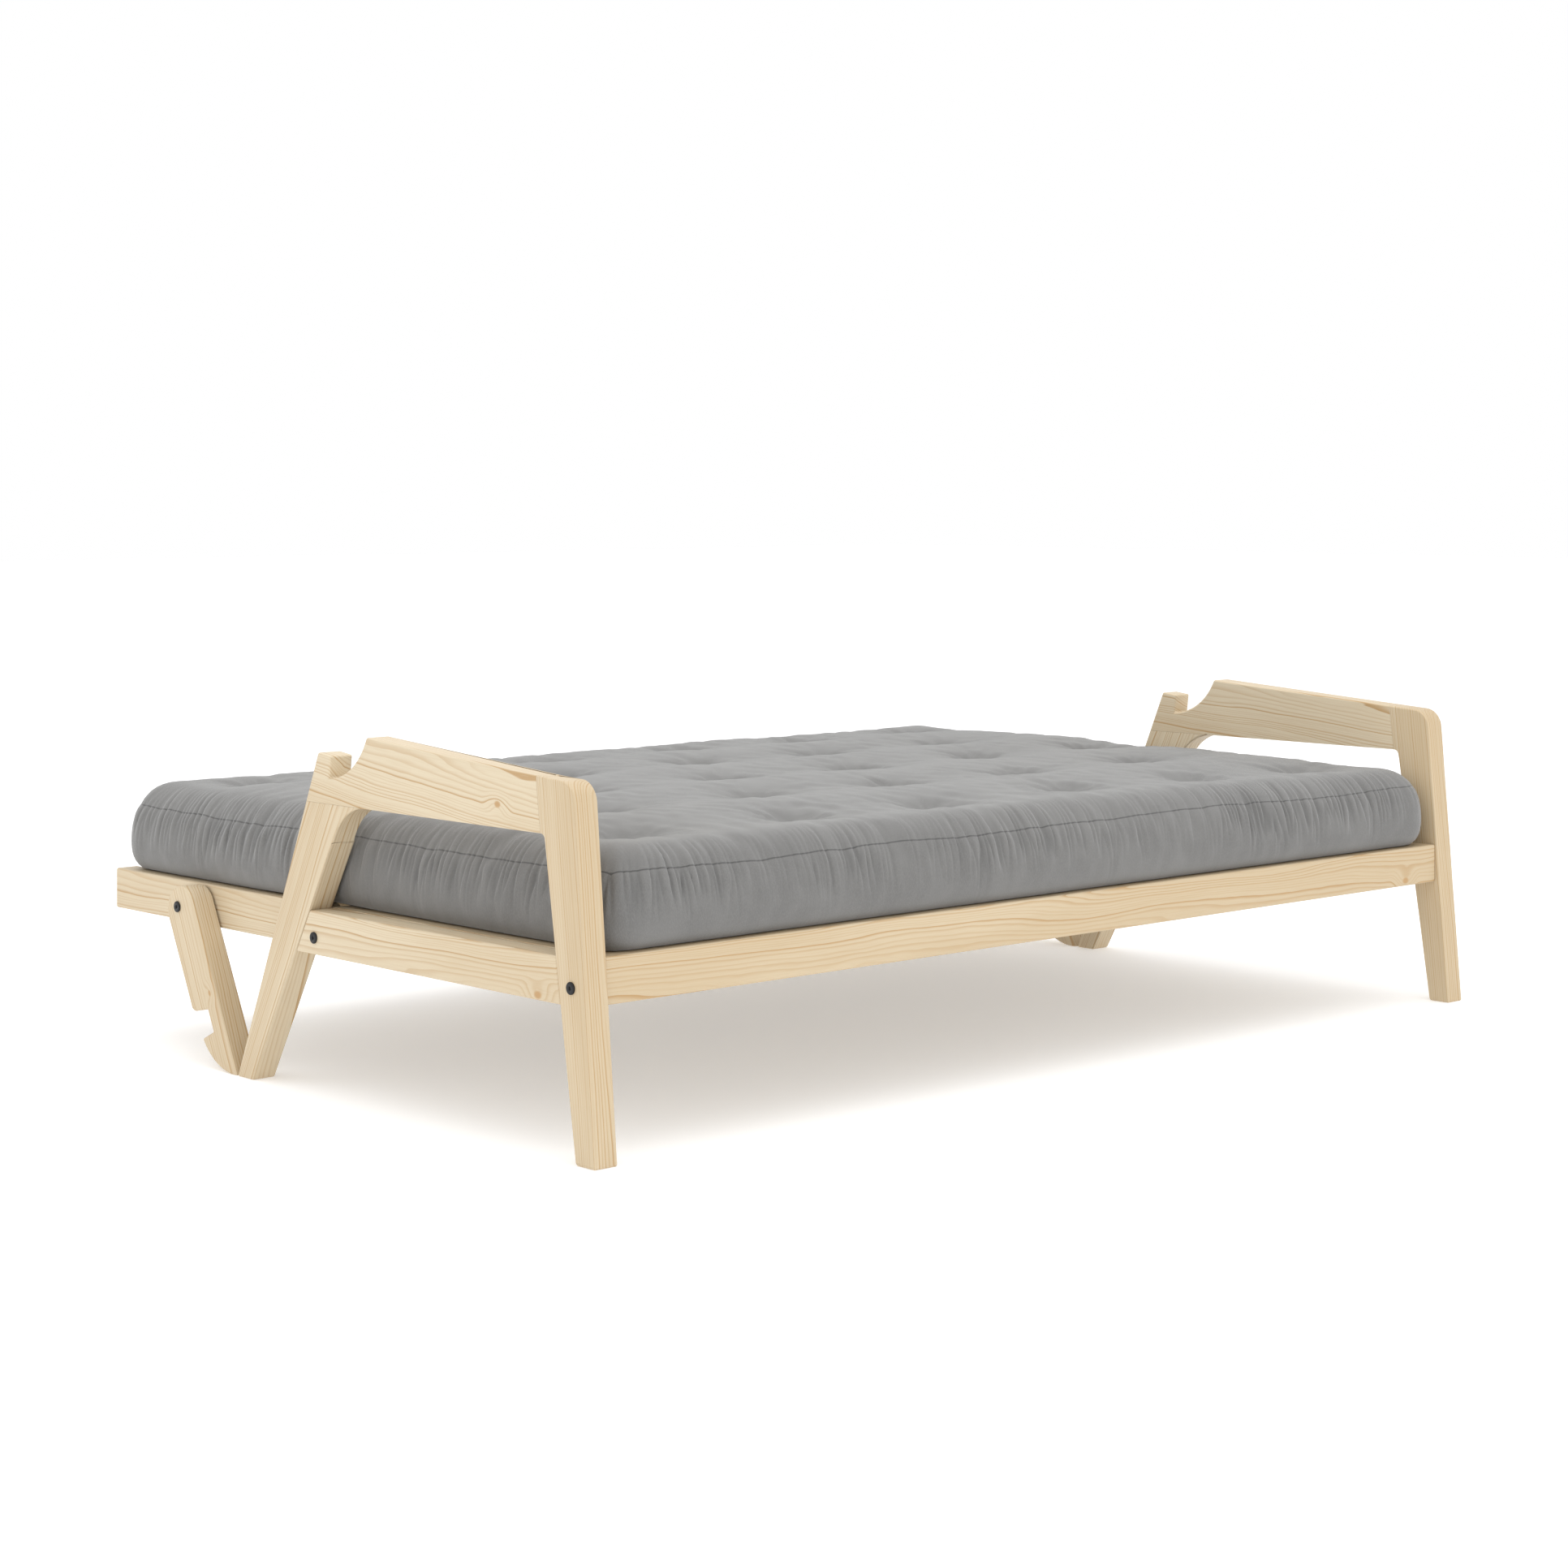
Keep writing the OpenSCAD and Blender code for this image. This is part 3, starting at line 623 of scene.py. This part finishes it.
def outward(spot):
    """The way out of the futon at a point of its border."""
    hub_x = max(low.x + CORNER, min(high.x - CORNER, spot.x))
    hub_y = max(low.y + CORNER, min(high.y - CORNER, spot.y))
    return Vector((spot.x - hub_x, spot.y - hub_y, 0.0)).normalized()


BORDER = SEAM_Z - BASE_Z
FULLEST = 0.45
BOTTOM_CURL = 0.008
TUFT_FADE = 0.10
CORNER_SAG = 0.28
CORNER_SAG_REACH = 0.36
for vertex in futon.data.vertices:
    spot = vertex.co
    within = inset(spot)
    on_top = spot.z > SEAM_Z - ON_EDGE
    if on_top:
        edge_on = max(0.0, 1.0 - within / SHOULDER)
        dip = DIMPLE * pulled_down(spot) * min(1.0, within / TUFT_FADE)
        from_corner = (spot.xy - FLAT_CORNER).length / CORNER_SAG_REACH
        flatter = 1.0 - CORNER_SAG * math.exp(-(from_corner ** 2))
        far_in = max(0.0, 1.0 - within / DOME)
        rounded = 1.0 - 0.68 * edge_on ** 2.4 - 0.32 * far_in ** 2
        spot.z = SEAM_Z + LIFT * flatter * rounded - dip
    round_corner(spot)
    if within < ON_EDGE and not on_top:
        level = (spot.z - BASE_Z) / BORDER
        bulge = (SWELL + PROUD) * (1.0 - abs((level - FULLEST) / (1.0 - FULLEST)) ** 2.2)
        bulge -= BOTTOM_CURL * max(0.0, 1.0 - level / 0.13) ** 2
        vertex.co = spot + outward(spot) * bulge

# %% Hold the cover where it rests and where it is stitched
STITCH_DROP = 0.004
RESTING = 0.020
SEAM_HOLD = 0.35
held = futon.vertex_groups.new(name="held")
for vertex in futon.data.vertices:
    spot = vertex.co
    nearest = min((spot.xy - tuft).length for tuft in tufts)
    reach_here = seam_reach.data[vertex.index].value
    if spot.z < BASE_Z + RESTING:
        held.add([vertex.index], 1.0, "REPLACE")
    elif reach_here > 0.0 and nearest < CELL * 0.72:
        held.add([vertex.index], 1.0, "REPLACE")
        vertex.co.z -= STITCH_DROP
    elif abs(reach_here) < ON_EDGE:
        held.add([vertex.index], SEAM_HOLD, "REPLACE")
before = [vertex.co.copy() for vertex in futon.data.vertices]

# %% Loosen it: a short cloth simulation with pressure
CLOTH_FRAMES = 20
only(futon)
cloth = futon.modifiers.new("stuffing", "CLOTH")
fabric = cloth.settings
fabric.quality = 5
fabric.mass = 0.25
fabric.tension_stiffness = 18
fabric.compression_stiffness = 9
fabric.shear_stiffness = 5
fabric.bending_stiffness = 1.2
fabric.shrink_min = -0.015
fabric.use_pressure = True
fabric.uniform_pressure_force = 4.0
fabric.vertex_group_mass = "held"
fabric.pin_stiffness = 1.0
fabric.effector_weights.gravity = 0.0
cloth.collision_settings.use_collision = False
scene = bpy.context.scene
for step in range(1, CLOTH_FRAMES + 1):
    scene.frame_set(step)
bpy.ops.object.modifier_apply(modifier="stuffing")
scene.frame_set(1)

# %% Cap how far the cover may swell
SIDE_SWELL = 0.003
TOP_SWELL = 0.007
TOP_SINK = 0.004
for vertex, start in zip(futon.data.vertices, before):
    move = vertex.co - start
    flat = Vector((move.x, move.y, 0.0))
    if flat.length > SIDE_SWELL:
        flat *= SIDE_SWELL / flat.length
    rise = max(-TOP_SINK, min(TOP_SWELL, move.z))
    vertex.co = start + flat + Vector((0.0, 0.0, rise))
    vertex.co.z = max(vertex.co.z, BASE_Z)
print("stuffed height", round(max(v.co.z for v in futon.data.vertices), 4))

# %% Make the mesh finer where the gathers are
GATHERED_TOP = 0.042
apply_modifier(futon, "SUBSURF", levels=1, render_levels=1)
only(futon)
bpy.ops.object.mode_set(mode="EDIT")
bpy.ops.mesh.select_mode(type="EDGE")
bpy.ops.mesh.select_all(action="DESELECT")
bpy.ops.object.mode_set(mode="OBJECT")
reach = futon.data.attributes["seam_reach"].data
for edge in futon.data.edges:
    a, b = (reach[i].value for i in edge.vertices)
    edge.select = abs(a - b) < ON_EDGE and -BORDER - 0.006 < a < GATHERED_TOP
bpy.ops.object.mode_set(mode="EDIT")
bpy.ops.mesh.select_mode(type="EDGE")
bpy.ops.mesh.subdivide(number_cuts=3, smoothness=0.0)
bpy.ops.object.mode_set(mode="OBJECT")
print("futon mesh", len(futon.data.polygons), "faces")


# %% Work in the gathers, the seam groove and the tuft creases
DEEP_IN = 0.12


def crease(point, scale, seed, sharp=3.4):
    """Soft ridges with narrow valleys: 0 on a ridge and -1 in a valley."""
    value = noise.noise(Vector((point.x * scale, point.y * scale, point.z * scale * 0.11 + seed)))
    return -max(0.0, 1.0 - abs(value) * sharp) ** 2


def fade(value, near, far):
    t = max(0.0, min(1.0, (value - near) / (far - near)))
    return 1.0 - t * t * (3 - 2 * t)


def along_seam(spot):
    """The place on the seam that this point hangs from, so that gathers run square to the seam."""
    hub_x = max(low.x + DEEP_IN, min(high.x - DEEP_IN, spot.x))
    hub_y = max(low.y + DEEP_IN, min(high.y - DEEP_IN, spot.y))
    hub = Vector((hub_x, hub_y))
    out = spot.xy - hub
    if out.length < 0.0001:
        return None
    foot = hub + out.normalized() * DEEP_IN
    return Vector((foot.x, foot.y, spot.z))


SEAM_GROOVE = 0.0016
GATHER_DEPTH = 0.0046
PUFF = 0.0030
TUFT_CREASE = 0.0042
TOP_WAVE = 0.0040
SEAM_WAVE = 0.0050
SEAM_RIPPLE = 0.0022


def patchy_noise(spot, scale_x, scale_y, seed):
    return noise.noise(Vector((spot.x * scale_x, spot.y * scale_y, seed)))


reach = futon.data.attributes["seam_reach"].data
# This attribute keeps the depth of each gather valley, for the painted shade in the cloth's colour.
fold_shade = futon.data.attributes.new("fold_shade", "FLOAT", "POINT")
moves = []
for vertex in futon.data.vertices:
    spot = vertex.co
    along_cover = reach[vertex.index].value
    foot = along_seam(spot)
    depth = -SEAM_GROOVE * math.exp(-((along_cover / 0.006) ** 2))
    gather = 0.0
    if foot and along_cover > -BORDER - 0.01:
        strength = min(1.2, max(0.45, 0.9 + 1.4 * patchy_noise(foot, 4.2, 4.2, 4.0)))
        length = 0.085 + 0.060 * patchy_noise(foot, 23.0, 23.0, 1.0)
        if along_cover < 0:
            down = fade(-along_cover, 0.012, length)
        else:
            down = fade(along_cover, 0.004, 0.055) * 0.6
        gather = 0.7 * crease(foot, 34.0, 1.0, 2.6) + 0.7 * crease(foot, 78.0, 7.0, 2.4)
        gather *= down * strength
        puff = patchy_noise(foot, 9.0, 9.0, 5.0)
        depth += GATHER_DEPTH * gather + PUFF * puff * fade(abs(along_cover + 0.05), 0.02, 0.08)
    fold_shade.data[vertex.index].value = -gather
    if along_cover > 0.02:
        offset, tuft = min(((spot.xy - t).length, i) for i, t in enumerate(tufts))
        away = spot.xy - tufts[tuft]
        turn = math.atan2(away.y, away.x * 0.7)
        spoke = noise.noise(Vector((math.cos(turn) * 2.3, math.sin(turn) * 2.3, tuft * 1.7)))
        pinch = -max(0.0, 1.0 - abs(spoke) * 2.4) ** 2
        depth += TUFT_CREASE * pinch * fade(offset, 0.03, 0.13) * (1 - fade(offset, 0.0, 0.02))
        depth += TOP_WAVE * patchy_noise(spot, 3.0, 4.5, 2.0)
    moves.append(vertex.normal * depth)
for vertex, move in zip(futon.data.vertices, moves):
    vertex.co += move
    wave = SEAM_WAVE * patchy_noise(vertex.co, 3.6, 3.6, 9.0)
    wave += SEAM_RIPPLE * patchy_noise(vertex.co, 17.0, 17.0, 3.0)
    vertex.co.z += wave * math.exp(-((reach[vertex.index].value / 0.05) ** 2))

# %% Let the bottom lift a little over the fold
FOLD_LIFT = 0.009
FOLD_HALF = 0.075
for vertex in futon.data.vertices:
    if reach[vertex.index].value < BASE_Z - SEAM_Z:
        from_hinge = abs(vertex.co.y - HINGE_Y)
        lift = FOLD_LIFT * fade(abs(from_hinge - FOLD_HALF), 0.02, 0.09)
        vertex.co.z = max(BASE_Z + lift, vertex.co.z)
print("futon size", [round(v, 3) for v in futon.dimensions])

# %% [markdown]
# ## Grey cotton twill
# The cover is a tight grey twill. Fine threads cross at a slant, a little darker and lighter from thread to
# thread, and short fibres on the surface catch the light at a low angle, so the top looks paler than the
# border. The seam is a thin dark line that follows the cover, read from the distance that was stored before
# the stuffing. Painted shade darkens the cloth in the valleys of the gathers, read from their stored depth.

# %% The cotton material
TWILL_RATE = 5200.0
cotton, tree, shader = fresh_material("grey_cotton_twill")
place = add_node(tree, "ShaderNodeTexCoord").outputs["Object"]
distance = add_node(tree, "ShaderNodeAttribute", attribute_name="seam_reach").outputs["Fac"]
slanted = reading_along(tree, place, (0.6, 0.55, 1.0))
twill = calc(tree, "SINE", calc(tree, "MULTIPLY", slanted, TWILL_RATE))
threads = speckle(tree, place, (900.0, 900.0, 260.0), 3.0)
patches = speckle(tree, place, (9.0, 9.0, 14.0), 4.0)
GREY = (0.176, 0.174, 0.169, 1.0)
GREY_DARK = (0.152, 0.150, 0.146, 1.0)
GREY_PALE = (0.216, 0.213, 0.207, 1.0)
# Painted shade: this darker grey is laid into the valleys of the gathers.
GREY_FOLD_SHADE = (0.09, 0.09, 0.088, 1.0)
SEAM_SHADE = (0.055, 0.054, 0.053, 1.0)
cloth_colour = mix_colour(tree, ramp(tree, patches, 0.3, 0.7), GREY, GREY_DARK)
cloth_colour = mix_colour(tree, ramp(tree, threads, 0.35, 0.75, 0.0, 0.55), cloth_colour, GREY_PALE)
# Painted shade: the cloth's colour is darkened in the gather valleys, by their stored depth.
valley = add_node(tree, "ShaderNodeAttribute", attribute_name="fold_shade").outputs["Fac"]
cloth_colour = mix_colour(tree, ramp(tree, valley, 0.1, 0.9, 0.0, 0.30), cloth_colour, GREY_FOLD_SHADE)
seam_line = ramp(tree, calc(tree, "ABSOLUTE", distance), 0.0004, 0.0014, 0.72, 0.0)
cloth_colour = mix_colour(tree, seam_line, cloth_colour, SEAM_SHADE)
tree.links.new(cloth_colour, shader.inputs["Base Color"])
shader.inputs["Roughness"].default_value = 0.92
shader.inputs["Specular IOR Level"].default_value = 0.18
shader.inputs["Sheen Weight"].default_value = 0.42
shader.inputs["Sheen Roughness"].default_value = 0.45
shader.inputs["Sheen Tint"].default_value = (0.95, 0.95, 0.95, 1.0)
weave = calc(tree, "MULTIPLY_ADD", twill, 0.35, threads)
fine = add_node(tree, "ShaderNodeBump", {"Height": weave, "Strength": 0.35, "Distance": 0.0004})
tree.links.new(fine.outputs["Normal"], shader.inputs["Normal"])

only(futon)
bpy.ops.object.shade_smooth()
futon.data.materials.clear()
futon.data.materials.append(cotton)
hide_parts("mattress_seat", "mattress_fold", "mattress_back")
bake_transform(futon)
print("futon dressed")

# %% [markdown]
# ## Floor, light and camera
# A plain pale floor and a bright even studio. The world is white and the floor glows a little, so shadows stay
# pale. One large soft light hangs above, a wide one stands in front, and a weak one stands on the left. The
# camera stands to the left of the front, level, a little under a metre up, and is shifted down rather than
# tilted, so uprights stay upright.

# %% The studio
FLOOR_SIZE = 60.0
FLOOR_GLOW = 0.32
bpy.ops.object.select_all(action="DESELECT")
bpy.ops.mesh.primitive_plane_add(size=FLOOR_SIZE)
floor = bpy.context.active_object
floor.name = "studio_floor"
paint, tree, shader = fresh_material("pale_floor")
shader.inputs["Base Color"].default_value = (0.86, 0.86, 0.86, 1.0)
shader.inputs["Roughness"].default_value = 0.9
shader.inputs["Emission Color"].default_value = (1.0, 1.0, 1.0, 1.0)
shader.inputs["Emission Strength"].default_value = FLOOR_GLOW
floor.data.materials.append(paint)

world = bpy.data.worlds.new("studio")
scene.world = world
world.use_nodes = True
sky = world.node_tree.nodes["Background"]
sky.inputs["Color"].default_value = (1.0, 1.0, 1.0, 1.0)
sky.inputs["Strength"].default_value = 1.0


def soft_light(name, place, aim, width, height, power):
    bpy.ops.object.select_all(action="DESELECT")
    bpy.ops.object.light_add(type="AREA", location=place)
    light = bpy.context.active_object
    light.name = name
    light.data.shape = "RECTANGLE"
    light.data.size = width
    light.data.size_y = height
    light.data.energy = power
    light.rotation_euler = (Vector(aim) - Vector(place)).to_track_quat("-Z", "Y").to_euler()


soft_light("top_softbox", (-0.4, -0.3, 3.4), (0.0, 0.0, 0.4), 4.5, 3.5, 62.0)
soft_light("left_softbox", (-3.6, -1.2, 0.9), (-0.9, 0.0, 0.3), 2.2, 1.6, 5.0)
soft_light("front_softbox", (0.2, -5.2, 0.9), (0.2, 0.0, 0.2), 5.0, 1.6, 24.0)

CAMERA_AT = (-3.6359, -3.9233, 0.9448)
CAMERA_TURN = 42.495
bpy.ops.object.select_all(action="DESELECT")
bpy.ops.object.camera_add(location=CAMERA_AT, rotation=(math.radians(90), 0.0, -math.radians(CAMERA_TURN)))
camera = bpy.context.active_object
camera.data.lens = 69.3
camera.data.sensor_width = 36.0
camera.data.shift_y = -0.1905
scene.camera = camera
scene.view_settings.view_transform = "Standard"
